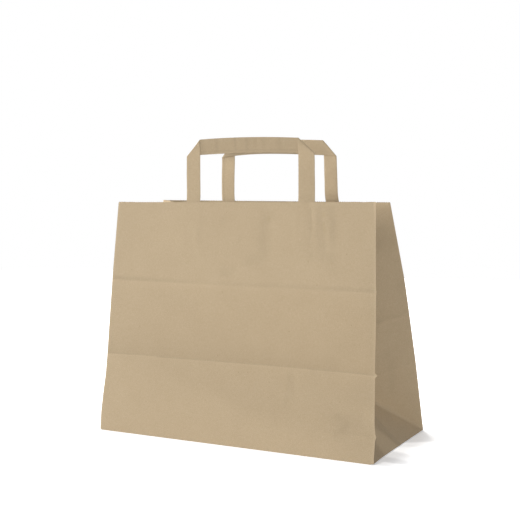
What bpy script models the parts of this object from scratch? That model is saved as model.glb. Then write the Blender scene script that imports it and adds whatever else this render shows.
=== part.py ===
"""Paper carrier bag with a block bottom, side gussets and two flat paper handles.

The bag stands open on its base. +X runs across the wide front, -Y faces the front,
+Z is up, and the origin is the middle of the base where it rests. Lengths are metres.
"""
import math

import bmesh
import bpy
import numpy as np
from mathutils import Vector

# Driving sizes of the folded sheet
WIDTH = 0.320               # front and rear panels, edge to edge
DEPTH = 0.166               # each gusset, and the base from front to back
HEIGHT = 0.260              # paper from the base to the cut mouth
PAPER = 0.0003              # one layer of the sheet
LOW_CREASE_EXTRA = 0.0015   # how far the bottom fold lies above half the depth
HIGH_CREASE_EXTRA = 0.004   # how far the imprint of the folded base lies above the depth
LAP_WIDTH = 0.016           # double layer where the sheet is glued to a tube
LAP_INSET = 0.022           # from the rear left edge to the lap
LAP_STEP = 0.0004           # run of the step at each side of the lap
FLAP_REACH = 0.014          # how far each bottom flap passes the middle of the base
FLAP_MARGIN = 0.0004        # how far a flap's rim stays inside the edge of the base
LAYER_BITE = 0.3            # share of one layer by which glued layers run into each other
SLOPE_STEP = 0.0015         # length of paper over which its slope is taken

# Creases across the tube, as heights along the paper
LOW_CREASE = DEPTH / 2 + LOW_CREASE_EXTRA
HIGH_CREASE = DEPTH + HIGH_CREASE_EXTRA
LEVELS = (0.0, LOW_CREASE, HIGH_CREASE, HEIGHT)

# How the used bag stands: at the base, the two creases and the mouth, each corner of
# the tube has moved in towards the middle, and each panel has swayed along X
FRONT_LEFT_IN = (0.0, 0.0186, 0.0204, 0.0458)
FRONT_RIGHT_IN = (0.0, 0.0263, 0.0059, 0.0319)
REAR_RIGHT_IN = (0.0, 0.0300, 0.0405, 0.0673)
REAR_LEFT_IN = (0.0, 0.0177, 0.0165, 0.0153)
FRONT_SWAY = (0.0, -0.0039, 0.0018, -0.0077)
REAR_SWAY = (-0.0037, -0.0026, -0.0111, -0.0186)
CENTRE_DROP = (0.0, 0.0250, 0.0170, 0.0110)     # of each gusset's centre fold below its corners

# Flat handles: a folded strip with a mitred corner at each end of its grip
STRIP_WIDTH = 0.0178
STRIP_THICK = 0.0007
HANDLE_SPAN = 0.159         # over the outer edges of the two legs
HANDLE_RISE = 0.0668        # from the mouth to the top of the grip at its corners
HANDLE_ARCH = 0.0020        # how far the grip bows up in its middle
HANDLE_DROP = 0.058         # from the mouth down to the glued ends
FOLD_SHY = 0.0003           # how far a leg's layers stop under the folded corner
FRONT_HANDLE_SHIFT = 0.0136
REAR_HANDLE_SHIFT = 0.0158
FRONT_HANDLE_LIFT = 0.0     # how much higher the whole handle is glued on
REAR_HANDLE_LIFT = 0.0030
BEND_START = 0.001          # the legs straighten up between these heights
BEND_END = 0.013

# Glued patch that covers the ends of a handle inside the bag
PATCH_THICK = 0.0003
PATCH_MARGIN = 0.021        # past the outer edge of each leg
PATCH_TOP = 0.006           # below the mouth
PATCH_BOTTOM = 0.063        # below the mouth
PATCH_RAMP = 0.004          # run over which the patch climbs onto a leg
CLEARANCE = 0.0003          # between glued neighbours

# Fineness of the meshes
PANEL_COLUMNS = 12
GUSSET_COLUMNS = 6          # also the rows of the lowest band, so that the diagonals meet
BAND_ROWS = 5
GRIP_STEPS = 12
BEND_STEPS = 4

REST_LAYERS = 2.5           # the sheet's middle plane stands this many layers up


def clear_scene():
    for item in list(bpy.data.objects):
        bpy.data.objects.remove(item, do_unlink=True)


def paper_material(name, colour, roughness):
    material = bpy.data.materials.new(name)
    material.use_nodes = True
    shader = material.node_tree.nodes["Principled BSDF"]
    shader.inputs["Base Color"].default_value = (*colour, 1.0)
    shader.inputs["Roughness"].default_value = roughness
    shader.inputs["Metallic"].default_value = 0.0
    return material


def corner_line(side, end, moved_in, sway):
    """The four places of one corner of the tube, from the base to the mouth.

    side is -1 at the front and 1 at the rear, end is -1 at the left and 1 at the right.
    Each stretch between two levels keeps the length that the paper has there.
    """
    places = []
    for level in range(len(LEVELS)):
        x = end * WIDTH / 2 + sway[level]
        y = side * (DEPTH / 2 - moved_in[level])
        if level == 0:
            z = REST_LAYERS * PAPER
        else:
            length = LEVELS[level] - LEVELS[level - 1]
            across = Vector((x - places[-1].x, y - places[-1].y)).length
            z = places[-1].z + math.sqrt(length ** 2 - across ** 2)
        places.append(Vector((x, y, z)))
    return places


def gusset_centre(front_corner, rear_corner, end):
    """The centre fold of a gusset at the base, the two creases and the mouth.

    Above the base it keeps half the gusset's paper to each corner, which pushes it into
    the bag, and it hangs below the corners by its drop.
    """
    places = [(front_corner[0] + rear_corner[0]) / 2]
    for level in range(1, len(LEVELS)):
        across = rear_corner[level] - front_corner[level]
        half = across.length / 2
        pushed = math.sqrt((DEPTH / 2) ** 2 - half ** 2 - CENTRE_DROP[level] ** 2)
        inward = Vector((-end * across.y, end * across.x, 0)).normalized()
        middle = (front_corner[level] + rear_corner[level]) / 2
        places.append(middle + inward * pushed - Vector((0, 0, CENTRE_DROP[level])))
    return places


FRONT_LEFT = corner_line(-1, -1, FRONT_LEFT_IN, FRONT_SWAY)
FRONT_RIGHT = corner_line(-1, 1, FRONT_RIGHT_IN, FRONT_SWAY)
REAR_RIGHT = corner_line(1, 1, REAR_RIGHT_IN, REAR_SWAY)
REAR_LEFT = corner_line(1, -1, REAR_LEFT_IN, REAR_SWAY)
RIGHT_CENTRE = gusset_centre(FRONT_RIGHT, REAR_RIGHT, 1)
LEFT_CENTRE = gusset_centre(FRONT_LEFT, REAR_LEFT, -1)


def band_of(height):
    """The band between two levels that a height on the paper lies in, and its share there."""
    band = 0
    while band < len(LEVELS) - 2 and height > LEVELS[band + 1]:
        band += 1
    share = (height - LEVELS[band]) / (LEVELS[band + 1] - LEVELS[band])
    return band, share


def panel_point(start, end, along, height):
    """Point of a panel between two corner lines, straight from one line to the other."""
    band, share = band_of(height)
    first = start[band].lerp(start[band + 1], share)
    last = end[band].lerp(end[band + 1], share)
    return first.lerp(last, along)


def gusset_point(corner, centre, towards_centre, height):
    """Point of half a gusset, from its corner line (0) to its centre fold (1).

    Below the low crease a diagonal fold runs from the corner of the base to the centre
    fold. The paper under it tilts in with the base, and the paper over it follows the
    panel beside it. Towards the mouth each row leaves its corner level and then curves
    down to the centre fold.
    """
    band, share = band_of(height)
    if band > 0:
        point = panel_point(corner, centre, towards_centre, height)
        drop = CENTRE_DROP[band] + (CENTRE_DROP[band + 1] - CENTRE_DROP[band]) * share
        rounded = (height - LOW_CREASE) / (HEIGHT - LOW_CREASE)
        point.z += drop * rounded * towards_centre * (1 - towards_centre)
        return point
    if towards_centre >= share:
        along_base = (centre[0] - corner[0]) * (towards_centre - share)
        return corner[0] + along_base + (centre[1] - corner[0]) * share
    up_corner = (corner[1] - corner[0]) * (share - towards_centre)
    return corner[0] + up_corner + (centre[1] - corner[0]) * towards_centre


def row_heights():
    rows = list(np.linspace(0, LEVELS[1], GUSSET_COLUMNS + 1))
    for band in range(1, len(LEVELS) - 1):
        rows += list(np.linspace(LEVELS[band], LEVELS[band + 1], BAND_ROWS + 1))[1:]
    return [float(row) for row in rows]


def lap_columns():
    """Shares across the rear panel, from its right, that bound the glued lap."""
    outer = WIDTH - LAP_INSET
    inner = outer - LAP_WIDTH
    return [x / WIDTH for x in (inner - LAP_STEP, inner, outer, outer + LAP_STEP)]


def tube_columns():
    """Each column of the tube's wall: its surface, its share across, and its layers."""
    panel = [i / PANEL_COLUMNS for i in range(PANEL_COLUMNS)]
    half = [i / GUSSET_COLUMNS for i in range(GUSSET_COLUMNS)]
    lap = lap_columns()
    spacing = 1 / PANEL_COLUMNS
    near = spacing / 3
    rear = [share for share in panel if share < lap[0] - near or share > lap[3] + near]
    rear = sorted(rear + lap)
    columns = [("front", share, 1) for share in panel]
    columns += [("right_front", share, 1) for share in half]
    columns += [("right_rear", 1 - share, 1) for share in half]
    columns += [("rear", share, 2 if share in lap[1:3] else 1) for share in rear]
    columns += [("left_rear", share, 1) for share in half]
    columns += [("left_front", 1 - share, 1) for share in half]
    return columns


def tube_point(surface, share, height):
    if surface == "front":
        return panel_point(FRONT_LEFT, FRONT_RIGHT, share, height)
    if surface == "rear":
        return panel_point(REAR_RIGHT, REAR_LEFT, share, height)
    corners = {
        "right_front": (FRONT_RIGHT, RIGHT_CENTRE),
        "right_rear": (REAR_RIGHT, RIGHT_CENTRE),
        "left_rear": (REAR_LEFT, LEFT_CENTRE),
        "left_front": (FRONT_LEFT, LEFT_CENTRE),
    }
    corner, centre = corners[surface]
    return gusset_point(corner, centre, share, height)


def add_tube_faces(sheet, grid, columns):
    """Faces of the wall. In the lowest band the gussets split along their diagonals."""
    count = len(columns)
    for row in range(len(grid) - 1):
        for column in range(count):
            following = (column + 1) % count
            low, low_next = grid[row][column], grid[row][following]
            high, high_next = grid[row + 1][column], grid[row + 1][following]
            surface = columns[column][0]
            if row >= GUSSET_COLUMNS or surface in ("front", "rear"):
                sheet.faces.new((low, low_next, high_next, high))
            elif surface in ("right_front", "left_rear"):
                sheet.faces.new((low, low_next, high_next))
                sheet.faces.new((low, high_next, high))
            else:
                sheet.faces.new((low, low_next, high))
                sheet.faces.new((low_next, high_next, high))


def new_object(name, sheet, material=None):
    mesh = bpy.data.meshes.new(name)
    sheet.to_mesh(mesh)
    sheet.free()
    item = bpy.data.objects.new(name, mesh)
    bpy.context.scene.collection.objects.link(item)
    if material:
        mesh.materials.append(material)
    return item


def prism(outline, bottom, top):
    """Closed upright prism on a counterclockwise outline of x, y points."""
    sheet = bmesh.new()
    lower = [sheet.verts.new((x, y, bottom)) for x, y in outline]
    upper = [sheet.verts.new((x, y, top)) for x, y in outline]
    sheet.faces.new(list(reversed(lower)))
    sheet.faces.new(upper)
    for i in range(len(outline)):
        j = (i + 1) % len(outline)
        sheet.faces.new((lower[i], lower[j], upper[j], upper[i]))
    return sheet


def base_skew(y):
    """How far the base has shifted along X at this depth."""
    return REAR_SWAY[0] * (y + DEPTH / 2) / DEPTH


def flap_outline(side):
    """Flap folded over the base from its front (-1) or rear (1), with sides at 45 degrees."""
    rim = DEPTH / 2 - FLAP_MARGIN
    long_half = WIDTH / 2 - 2 * FLAP_MARGIN
    short_half = long_half - rim - FLAP_REACH
    rim_y = side * rim
    far_y = -side * FLAP_REACH
    points = [(-long_half, rim_y), (long_half, rim_y), (short_half, far_y), (-short_half, far_y)]
    if side > 0:
        points.reverse()
    return [(x + base_skew(y), y) for x, y in points]


def join_to(body, form):
    """Unite a hidden form with a body, as glued layers of the same sheet."""
    form.hide_render = True
    form.display_type = "WIRE"
    union = body.modifiers.new(form.name, "BOOLEAN")
    union.operation = "UNION"
    union.solver = "EXACT"
    union.object = form


def make_bag(material):
    columns = tube_columns()
    heights = row_heights()
    sheet = bmesh.new()
    layers = []
    grid = []
    for height in heights:
        row = []
        for surface, share, layer_count in columns:
            row.append(sheet.verts.new(tube_point(surface, share, height)))
            layers.append(layer_count)
        grid.append(row)
    add_tube_faces(sheet, grid, columns)
    sheet.faces.new(list(reversed(grid[0])))
    bag = new_object("bag_body", sheet, material)

    group = bag.vertex_groups.new(name="layers")
    single = [i for i, count in enumerate(layers) if count == 1]
    double = [i for i, count in enumerate(layers) if count == 2]
    group.add(single, 0.5, "REPLACE")
    group.add(double, 1.0, "REPLACE")
    wall = bag.modifiers.new("paper", "SOLIDIFY")
    wall.thickness = 2 * PAPER
    wall.offset = 0.0
    wall.use_even_offset = True
    wall.vertex_group = "layers"

    bite = LAYER_BITE * PAPER
    rear_flap = new_object("rear_flap_form", prism(flap_outline(1), PAPER, 2 * PAPER + bite))
    front_flap = new_object("front_flap_form", prism(flap_outline(-1), 0.0, 2 * PAPER + bite))
    join_to(bag, rear_flap)
    join_to(bag, front_flap)
    return bag


class HandleSide:
    """Places on and above one panel, inside the bag.

    u runs along the mouth to +X from the middle of the panel, w runs up the paper from
    the mouth, and d goes into the bag from the middle of the panel's thickness.
    """

    def __init__(self, left, right, inward):
        self.left = left
        self.right = right
        self.inward = inward

    def on_panel(self, u, w):
        return panel_point(self.left, self.right, 0.5 + u / WIDTH, HEIGHT + w)

    def panel_lean(self, u):
        """Unit vector up the panel just under the mouth."""
        return (self.on_panel(u, 0.0) - self.on_panel(u, -SLOPE_STEP)).normalized()

    def along(self):
        return (self.right[-1] - self.left[-1]).normalized()

    def depth_at(self, up):
        """Unit vector into the bag, square to the panel's edge and to this upward line."""
        across = self.along().cross(up).normalized()
        if across.y * self.inward < 0:
            across.negate()
        return across

    def place(self, u, w, d):
        if w <= 0:
            up = (self.on_panel(u, w) - self.on_panel(u, w - SLOPE_STEP)).normalized()
            return self.on_panel(u, w) + self.depth_at(up) * d
        lean = self.panel_lean(u)
        point = self.on_panel(u, 0.0) + lean * min(w, BEND_START)
        up = lean
        stretch = (BEND_END - BEND_START) / BEND_STEPS
        for i in range(BEND_STEPS):
            done = min(max(w - BEND_START - i * stretch, 0.0), stretch)
            up = lean.lerp(Vector((0, 0, 1)), (i + 0.5) / BEND_STEPS).normalized()
            if done > 0:
                point = point + up * done
        if w > BEND_END:
            up = Vector((0, 0, 1))
            point = point + up * (w - BEND_END)
        return point + self.depth_at(up) * d


def slab(side, rows, near, far):
    """Closed sheet between two depths, from rows of places (u, w) of equal count."""
    sheet = bmesh.new()
    skins = []
    for depth in (near, far):
        skin = []
        for row in rows:
            places = [side.place(u, w, depth(u) if callable(depth) else depth) for u, w in row]
            skin.append([sheet.verts.new(place) for place in places])
        skins.append(skin)
    outer, inner = skins
    row_count, column_count = len(rows), len(rows[0])
    for i in range(row_count - 1):
        for j in range(column_count - 1):
            sheet.faces.new((outer[i][j], outer[i][j + 1], outer[i + 1][j + 1], outer[i + 1][j]))
            sheet.faces.new((inner[i][j], inner[i + 1][j], inner[i + 1][j + 1], inner[i][j + 1]))
    rim = [(0, j) for j in range(column_count)]
    rim += [(i, column_count - 1) for i in range(1, row_count)]
    rim += [(row_count - 1, j) for j in range(column_count - 2, -1, -1)]
    rim += [(i, 0) for i in range(row_count - 2, 0, -1)]
    for k in range(len(rim)):
        (i, j), (m, n) = rim[k], rim[(k + 1) % len(rim)]
        sheet.faces.new((outer[i][j], inner[i][j], inner[m][n], outer[m][n]))
    bmesh.ops.recalc_face_normals(sheet, faces=sheet.faces)
    return sheet


def crease_heights(bottom, top):
    """Heights from the mouth of the creases that lie between two heights from the mouth."""
    return [level - HEIGHT for level in LEVELS[1:-1] if bottom < level - HEIGHT < top]


def leg_rows(outer_u, inner_u, lift):
    """Rows up one leg. Its top is cut parallel to the diagonal fold, just under it."""
    bends = [BEND_START + (BEND_END - BEND_START) * i / BEND_STEPS for i in range(BEND_STEPS + 1)]
    bottom = lift - HANDLE_DROP
    heights = sorted([bottom, -PATCH_TOP, 0.0] + crease_heights(bottom, 0.0) + bends)
    rows = [[(outer_u, w), (inner_u, w)] for w in heights]
    top = HANDLE_RISE + lift - FOLD_SHY
    rows.append([(outer_u, top - STRIP_WIDTH), (inner_u, top)])
    return rows


def grip_rows(left, right, lift):
    """Rows of the grip, bottom and top edge, which bow up together."""
    high = HANDLE_RISE + lift
    low = high - STRIP_WIDTH
    rows = []
    for start, end, w in ((left, right, low), (left + STRIP_WIDTH, right - STRIP_WIDTH, high)):
        row = []
        for i in range(GRIP_STEPS + 1):
            share = i / GRIP_STEPS
            row.append((start + (end - start) * share, w + HANDLE_ARCH * 4 * share * (1 - share)))
        rows.append(row)
    return rows


def make_handle(name, side, shift, lift, material):
    left = shift - HANDLE_SPAN / 2
    right = shift + HANDLE_SPAN / 2
    near = PAPER / 2 + CLEARANCE
    fold = near + STRIP_THICK
    bite = LAYER_BITE * PAPER
    grip = slab(side, grip_rows(left, right, lift), fold - bite, fold + STRIP_THICK)
    handle = new_object(name, grip, material)
    legs = (("left", left, left + STRIP_WIDTH), ("right", right, right - STRIP_WIDTH))
    for label, outer_u, inner_u in legs:
        leg = slab(side, leg_rows(outer_u, inner_u, lift), near, fold)
        join_to(handle, new_object(f"{name}_{label}_leg_form", leg))
    return handle


def patch_profile(shift, inner_skin):
    """Columns of the patch, and the depth at each: flat on the panel and over the legs."""
    over = PAPER / 2 + CLEARANCE + STRIP_THICK + CLEARANCE
    flat = PAPER / 2 + CLEARANCE
    left = shift - HANDLE_SPAN / 2
    right = shift + HANDLE_SPAN / 2
    raised = ((left, left + STRIP_WIDTH), (right - STRIP_WIDTH, right))
    depth = {left - PATCH_MARGIN: flat, right + PATCH_MARGIN: flat, shift: flat}
    for start, end in raised:
        depth[start - PATCH_RAMP] = flat
        depth[start - CLEARANCE] = over
        depth[end + CLEARANCE] = over
        depth[end + PATCH_RAMP] = flat
    extra = PATCH_THICK if inner_skin else 0.0
    return {u: d + extra for u, d in depth.items()}


def make_patch(name, side, shift, material):
    near = patch_profile(shift, False)
    far = patch_profile(shift, True)
    columns = sorted(near)
    creases = crease_heights(-PATCH_BOTTOM, -PATCH_TOP)
    heights = sorted([-PATCH_BOTTOM, -(PATCH_BOTTOM + PATCH_TOP) / 2, -PATCH_TOP] + creases)
    rows = [[(u, w) for u in columns] for w in heights]
    return new_object(name, slab(side, rows, near.get, far.get), material)


def main():
    clear_scene()
    kraft = paper_material("brown_kraft_sheet", (0.52, 0.40, 0.26), 0.85)
    strip = paper_material("folded_kraft_strip", (0.46, 0.36, 0.23), 0.8)
    glued = paper_material("kraft_patch", (0.49, 0.38, 0.25), 0.85)
    make_bag(kraft)
    front = HandleSide(FRONT_LEFT, FRONT_RIGHT, 1)
    rear = HandleSide(REAR_LEFT, REAR_RIGHT, -1)
    make_handle("front_handle", front, FRONT_HANDLE_SHIFT, FRONT_HANDLE_LIFT, strip)
    make_handle("rear_handle", rear, REAR_HANDLE_SHIFT, REAR_HANDLE_LIFT, strip)
    make_patch("front_handle_patch", front, FRONT_HANDLE_SHIFT, glued)
    make_patch("rear_handle_patch", rear, REAR_HANDLE_SHIFT, glued)


main()
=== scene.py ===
"""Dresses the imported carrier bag: its kraft sheet, folded handles, patches, floor and light.

The sheet is unrolled in the reader's mind: x runs along its cut mouth and v up from the
base, both in metres. Every surface below is a function of such sheet coordinates.
"""
import math

import bmesh
import bpy
import numpy as np
from bpy.props import FloatProperty, FloatVectorProperty, PointerProperty
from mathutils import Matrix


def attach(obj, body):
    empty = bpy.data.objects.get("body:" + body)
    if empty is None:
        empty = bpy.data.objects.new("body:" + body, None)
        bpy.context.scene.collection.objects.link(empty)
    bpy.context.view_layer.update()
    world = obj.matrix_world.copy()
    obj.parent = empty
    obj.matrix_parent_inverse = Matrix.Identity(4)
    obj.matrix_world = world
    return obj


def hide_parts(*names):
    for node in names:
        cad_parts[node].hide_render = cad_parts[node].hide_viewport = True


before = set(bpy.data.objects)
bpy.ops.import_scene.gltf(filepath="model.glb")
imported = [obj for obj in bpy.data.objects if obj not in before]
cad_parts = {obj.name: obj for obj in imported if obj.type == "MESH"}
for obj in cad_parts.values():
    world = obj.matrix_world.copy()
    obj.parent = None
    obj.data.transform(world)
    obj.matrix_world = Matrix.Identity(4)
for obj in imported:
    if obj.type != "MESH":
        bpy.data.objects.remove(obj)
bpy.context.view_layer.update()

bl_info = {
    "name": "Kraft Carrier Bag",
    "version": (1, 0, 0),
    "blender": (4, 5, 0),
    "location": "View3D > Sidebar > Bag",
    "description": "Builds a folded kraft carrier bag with flat handles",
    "category": "Add Mesh",
}

# Colours as sRGB hex
KRAFT = "C8B493"
KRAFT_STRIP = "C7B392"
KRAFT_PATCH = "C2AE8C"
FIBRE_DARK = "9A8060"
FIBRE_LIGHT = "DCCBAE"
SWEEP = "F4F3F1"
SWEEP_BOUNCE = "C0BEBC"

# How the used bag stands: at the base, the two creases and the mouth, each corner of
# the tube has moved in towards the middle, and each panel has swayed along X
FRONT_LEFT_IN = (0.0, 0.0186, 0.0204, 0.0458)
FRONT_RIGHT_IN = (0.0, 0.0263, 0.0059, 0.0319)
REAR_RIGHT_IN = (0.0, 0.0300, 0.0405, 0.0673)
REAR_LEFT_IN = (0.0, 0.0177, 0.0165, 0.0153)
FRONT_SWAY = (0.0, -0.0039, 0.0018, -0.0077)
REAR_SWAY = (-0.0037, -0.0026, -0.0111, -0.0186)
CENTRE_DROP = (0.0, 0.0250, 0.0170, 0.0110)
BASE_HEIGHT = 0.00075       # middle of the sheet over the floor, on its two glued flaps

# Where a corner fold strays sideways from its straight line: height, distance along X
FRONT_RIGHT_STRAY = ((0.0, 0.0018), (0.016, 0.0020), (0.026, 0.0019), (0.033, 0.0009),
                     (0.041, -0.0001), (0.0525, -0.0008), (0.070, -0.0020), (0.088, -0.0029),
                     (0.103, -0.0024), (0.127, -0.0012), (0.165, -0.0002), (0.210, -0.0007),
                     (0.245, -0.0009), (0.260, -0.0016))
FRONT_LEFT_STRAY = ((0.0, -0.0006), (0.018, -0.0022), (0.042, -0.0016), (0.060, -0.0006),
                    (0.0845, -0.0010), (0.125, -0.0008), (0.170, -0.0004), (0.260, -0.0009))

# Small sharp dents of the front's right fold: height, distance along X, half height
FRONT_RIGHT_DENTS = ((0.0842, 0.0021, 0.0013), (0.0250, 0.0012, 0.0020),
                     (0.1695, 0.0005, 0.0016))
DENT_REACH = 0.006          # over which a dent fades into the sheet

STRAY_BEND = 0.004          # run over which a straying fold turns
TURN_ROUND = 0.03           # rounding of the paper over the diagonal from the base's corner
MOUTH_STEP = 0.0013         # how much higher the mouth is cut at the rear
LAYER_BITE = 0.3            # share of a layer by which the flaps run into the base
BEND_START, BEND_END = 0.001, 0.013     # the legs turn upright between these heights

# Where the edges of both legs lie along the mouth, from the panel's middle, at the mouth
# and under the grip
FRONT_LEGS = ((-0.0659, -0.0479, 0.0727, 0.0918), (-0.0661, -0.04815, 0.0726, 0.0914))
REAR_LEGS = ((-0.06355, -0.0447, 0.0815, 0.0983), (-0.0627, -0.0434, 0.0801, 0.0963))
# How far the lower and the upper edge of a grip rise over their plain height: factors of
# 1, s, s^2 and s^3, with s from 0 at its left end to 1 at its right end
FRONT_GRIP = ((0.0009, 0.0071, -0.0088, 0.0), (0.0002, 0.0075, -0.0104, 0.0))
REAR_GRIP = ((0.0021, 0.0198, -0.0362, 0.0155), (0.0025, 0.0060, -0.0088, 0.0))

# Dark marks on the front: start and end on the sheet, half width, strength. Most lie along
# its soft folds, dents and leg imprints and are painted shade of them; the others are loose
# dark marks.
FRONT_SHADE_AND_SMUDGES = (
    ((0.207, 0.250), (0.194, 0.236), 0.0072, 0.07),
    ((0.194, 0.240), (0.197, 0.197), 0.0078, 0.075),
    ((0.197, 0.199), (0.172, 0.193), 0.0070, 0.065),
    ((0.145, 0.176), (0.163, 0.187), 0.0045, 0.07),
    ((0.150, 0.190), (0.147, 0.180), 0.0080, 0.05),
    ((0.146, 0.246), (0.141, 0.231), 0.0030, 0.06),
    ((0.168, 0.226), (0.162, 0.212), 0.0025, 0.06),
    ((0.270, 0.258), (0.2735, 0.222), 0.0058, 0.12),
    ((0.2735, 0.240), (0.273, 0.186), 0.0046, 0.08),
    ((0.250, 0.232), (0.250, 0.196), 0.0028, 0.065),
    ((0.257, 0.246), (0.257, 0.208), 0.0026, 0.055),
    ((0.264, 0.238), (0.264, 0.196), 0.0026, 0.055),
    ((0.259, 0.262), (0.260, 0.190), 0.0110, 0.05),
    ((0.2295, 0.086), (0.225, 0.044), 0.0032, 0.065),
    ((0.281, 0.046), (0.2845, 0.038), 0.0040, 0.05),
    ((0.295, 0.034), (0.2785, 0.022), 0.0050, 0.075),
    ((0.287, 0.044), (0.290, 0.030), 0.0070, 0.06),
    ((0.240, 0.060), (0.300, 0.130), 0.0140, 0.04),
)
# Painted shade of soft wrinkles across the front grip: run along the strip, half width, strength
GRIP_WRINKLE_SHADE = (
    (0.0890, 0.0022, 0.16), (0.1130, 0.0009, 0.20), (0.1275, 0.0018, 0.16),
    (0.1485, 0.0020, 0.08), (0.1680, 0.0022, 0.12),
)

# Soft boxes: name, place, edge length, watts
LAMPS = (
    ("left_low", (-2.75, -0.95, 0.25), 0.4, 45.5),
    ("camera_side", (1.40, -2.65, 0.22), 0.4, 27.8),
    ("front", (-0.50, -2.85, 0.92), 1.6, 12.6),
    ("back", (-0.90, 2.70, 1.10), 1.4, 36.0),
    ("small_overhead", (-0.29, 0.0, 2.4), 0.06, 9.5),
)
# A second overhead lamp reaches only the floor: the bag's shadow at its right side is deep
# in the photo, while its top isn't lit any more than its front
FLOOR_LAMP = ("floor_overhead", (-0.29, -0.20, 2.4), 0.06, 15.0)
FLOOR_HALF = 3.0            # half the edge of the floor
# The camera-only glow is weak around the base: painted shade, so that the floor at the bag's foot
# shows darker wherever the lamps alone don't make it white
GLOW_RECTANGLE = (0.160, 0.083, 0.0)    # half the base, around which the glow is weak
GLOW_NEAR, GLOW_FAR = 0.006, 0.050      # distances from it at which the glow starts and ends
GLOW_LEAST = 0.35           # glow at the base; 1 is white

# The camera: frame, height of its target, and its shift to the left and up
FRAME_PIXELS = 520
AIM_HEIGHT = 0.12
SHIFT_LEFT, SHIFT_UP = 0.0036, 0.0679

# Tones that stand for shading in the photo that the lamps don't give: places on the sheet
# where the colour itself is darker (above zero) or paler (below zero)
FRONT_RIGHT_SHADE, FRONT_RIGHT_LOW_SHADE = 0.05, 0.06
GUSSET_MOUTH_LIGHT, GUSSET_MOUTH_REACH = 0.66, 0.0085
GUSSET_BAND_SHADE, GUSSET_BAND_DEPTH, GUSSET_BAND_HALF = 0.12, 0.036, 0.015
TRIANGLE_LIGHT = 0.21
FRONT_GRIP_SHADE, FRONT_LEG_SHADE = 0.24, 0.08
REAR_LEG_LIGHT, REAR_GRIP_SHADE = 0.28, 0.34


def linear(hex_colour):
    """Linear colour with alpha from an sRGB hex value."""
    channels = [int(hex_colour[i:i + 2], 16) / 255 for i in (0, 2, 4)]
    out = [c / 12.92 if c <= 0.04045 else ((c + 0.055) / 1.055) ** 2.4 for c in channels]
    return (*out, 1.0)


def metres(name, description, default):
    """A size in metres that the panel shows."""
    return FloatProperty(name=name, description=description, default=default, unit="LENGTH")


class BagSettings(bpy.types.PropertyGroup):
    """Sizes of the folded sheet."""
    width: metres("Width", "Front and rear panel, edge to edge", 0.320)
    depth: metres("Depth", "Each gusset, front to back", 0.166)
    height: metres("Height", "Paper from the base to the mouth", 0.260)
    low_crease: metres("Bottom fold", "Height of the fold of the flat bag", 0.0845)
    high_crease: metres("Base imprint", "Height of the folded base's mark", 0.170)
    paper: metres("Paper", "Thickness of one layer", 0.0003)
    bend: metres("Bend", "Run over which a crease across a panel turns", 0.0035)
    tooth: metres("Tooth", "Depth of the serrated cut at the mouth", 0.0008)
    step: metres("Grid", "Spacing of the sheet's mesh", 0.0027)
    lap_inset: metres("Lap inset", "Rear left fold to the glued lap", 0.022)
    lap_width: metres("Lap", "Width of the glued lap", 0.016)
    flap_reach: metres("Flap reach", "Bottom flap past the middle", 0.014)
    colour: FloatVectorProperty(name="Kraft", description="Colour of the sheet", subtype="COLOR",
                                size=4, default=linear(KRAFT))


class HandleSettings(bpy.types.PropertyGroup):
    """Sizes of the two folded strip handles and their patches."""
    strip: metres("Strip", "Width of the folded strip", 0.0174)
    thick: metres("Thickness", "Thickness of the folded strip", 0.00062)
    layer: metres("Layer", "Distance between a leg and the grip behind it", 0.0011)
    span: metres("Span", "Over the outer edges of the legs", 0.159)
    rise: metres("Rise", "Mouth to the top of the grip", 0.0668)
    drop: metres("Drop", "Mouth down to the glued ends", 0.058)
    tip: FloatProperty(name="Tip", description="How far the grips tip towards the front",
                       default=math.radians(5), subtype="ANGLE")
    clearance: metres("Glue gap", "Between glued neighbours", 0.0003)
    patch_margin: metres("Patch margin", "Patch past each leg", 0.021)
    patch_top: metres("Patch top", "Mouth down to the patch", 0.006)
    patch_bottom: metres("Patch bottom", "Mouth to the patch's lower edge", 0.063)
    colour: FloatVectorProperty(name="Strip", description="Colour of the strip", subtype="COLOR",
                                size=4, default=linear(KRAFT_STRIP))


class StudioSettings(bpy.types.PropertyGroup):
    """Camera and light."""
    azimuth: FloatProperty(name="Azimuth", description="Camera's turn from the front",
                           default=0.4939, subtype="ANGLE")
    elevation: FloatProperty(name="Elevation", description="Camera's tilt down",
                             default=0.035, subtype="ANGLE")
    distance: metres("Distance", "Camera to the target plane", 1.0045)
    focal_pixels: FloatProperty(name="Focal length", description="In pixels of the 520 pixel frame",
                                default=909.7)
    key: FloatProperty(name="Lamps", description="Strength of all lamps together", default=1.0)
    fill: FloatProperty(name="Fill", description="Strength of the room's even light", default=0.285)


def settings():
    """The three groups of sizes that the scene holds."""
    scene = bpy.context.scene
    return scene.kraft_bag, scene.kraft_handles, scene.kraft_studio


# Surfaces of the sheet

def ramp(x, radius):
    """Half of x plus its rounded size: 0 far below zero, x far above it, smooth between."""
    return (x + np.sqrt(x * x + radius * radius)) / 2


def smoothstep(low, high, x):
    """Rises from 0 at low to 1 at high along 3t^2 - 2t^3."""
    t = np.clip((x - low) / (high - low), 0, 1)
    return t * t * (3 - 2 * t)


def bent_line(levels, points, v, radius):
    """Line through points at the given heights, straight between them, each bend rounded."""
    points = np.asarray(points, float)
    slopes = np.diff(points, axis=0) / np.diff(levels)[:, None]
    out = points[0] + v[..., None] * slopes[0]
    for k in range(1, len(slopes)):
        out = out + ramp(v - levels[k], radius)[..., None] * (slopes[k] - slopes[k - 1])
    return out


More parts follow.
